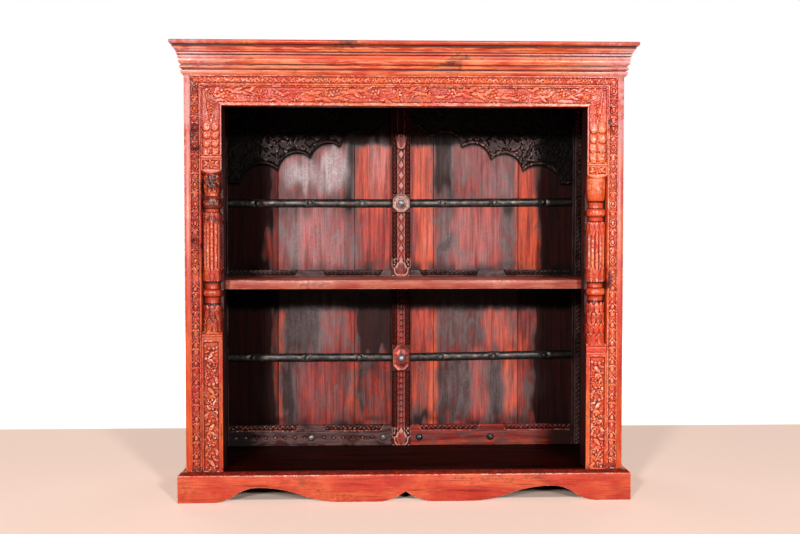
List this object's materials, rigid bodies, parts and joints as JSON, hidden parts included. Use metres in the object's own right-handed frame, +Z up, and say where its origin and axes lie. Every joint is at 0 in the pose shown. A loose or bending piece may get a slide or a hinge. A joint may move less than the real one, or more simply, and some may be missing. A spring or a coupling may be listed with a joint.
{
  "type": "open bookcase",
  "caption": "Low open bookcase: carved front frame with reeded half columns, stepped cornice, scalloped plinth, shelf, and a back of old door leaves with iron bars.",
  "frame": {"origin": "on the floor, under the middle of the overall box", "axes": "+Z up, front faces -Y, +X to the right of a viewer in front"},
  "size_m": [1.216, 0.4, 1.2],
  "materials": {
    "red_stained_hardwood": "satin red-orange stain and wax with dark glaze in the carving",
    "worn_painted_wood": "dark paint worn through to red in streaks, dull wax",
    "dark_stained_wood": "dark brown stain, satin",
    "unfinished_wood": "thin brown wash, matt",
    "forged_iron": "hammered and waxed, dark grey"
  },
  "bodies": {
    "root": {"arch_spandrel_left": "worn_painted_wood", "arch_spandrel_right": "worn_painted_wood", "back_batten_lower": "unfinished_wood", "back_batten_middle": "unfinished_wood", "back_batten_upper": "unfinished_wood", "back_plank_left_inner": "worn_painted_wood", "back_plank_left_middle": "worn_painted_wood", "back_plank_left_outer": "worn_painted_wood", "back_plank_right_inner": "worn_painted_wood", "back_plank_right_middle": "worn_painted_wood", "back_plank_right_outer": "worn_painted_wood", "bar_rivets": "forged_iron", "batten_nails": "forged_iron", "border_strip_left": "red_stained_hardwood", "border_strip_right": "red_stained_hardwood", "boss_nails": "forged_iron", "bottom_board": "dark_stained_wood", "bottom_rail_left": "worn_painted_wood", "bottom_rail_right": "worn_painted_wood", "ceiling_board": "dark_stained_wood", "centre_stile": "worn_painted_wood", "cornice_fascia": "unfinished_wood", "cornice_lower_front": "red_stained_hardwood", "cornice_lower_left": "red_stained_hardwood", "cornice_lower_right": "red_stained_hardwood", "cornice_upper_front": "red_stained_hardwood", "cornice_upper_left": "red_stained_hardwood", "cornice_upper_right": "red_stained_hardwood", "frieze_strip": "red_stained_hardwood", "head_rail": "red_stained_hardwood", "iron_bar_lower_left": "forged_iron", "iron_bar_lower_right": "forged_iron", "iron_bar_upper_left": "forged_iron", "iron_bar_upper_right": "forged_iron", "leaf_stile_left": "worn_painted_wood", "leaf_stile_right": "worn_painted_wood", "lower_boss": "forged_iron", "mid_rail_left": "worn_painted_wood", "mid_rail_right": "worn_painted_wood", "plinth_back": "unfinished_wood", "plinth_corner_blocks": "unfinished_wood", "plinth_front": "red_stained_hardwood", "plinth_side_left": "red_stained_hardwood", "plinth_side_right": "red_stained_hardwood", "post_left": "red_stained_hardwood", "post_right": "red_stained_hardwood", "rail_studs": "forged_iron", "shelf": "red_stained_hardwood", "shelf_cleat_left": "unfinished_wood", "shelf_cleat_right": "unfinished_wood", "side_panel_left": "red_stained_hardwood", "side_panel_right": "red_stained_hardwood", "top_board": "red_stained_hardwood", "upper_boss": "forged_iron"}
  },
  "joints": []
}
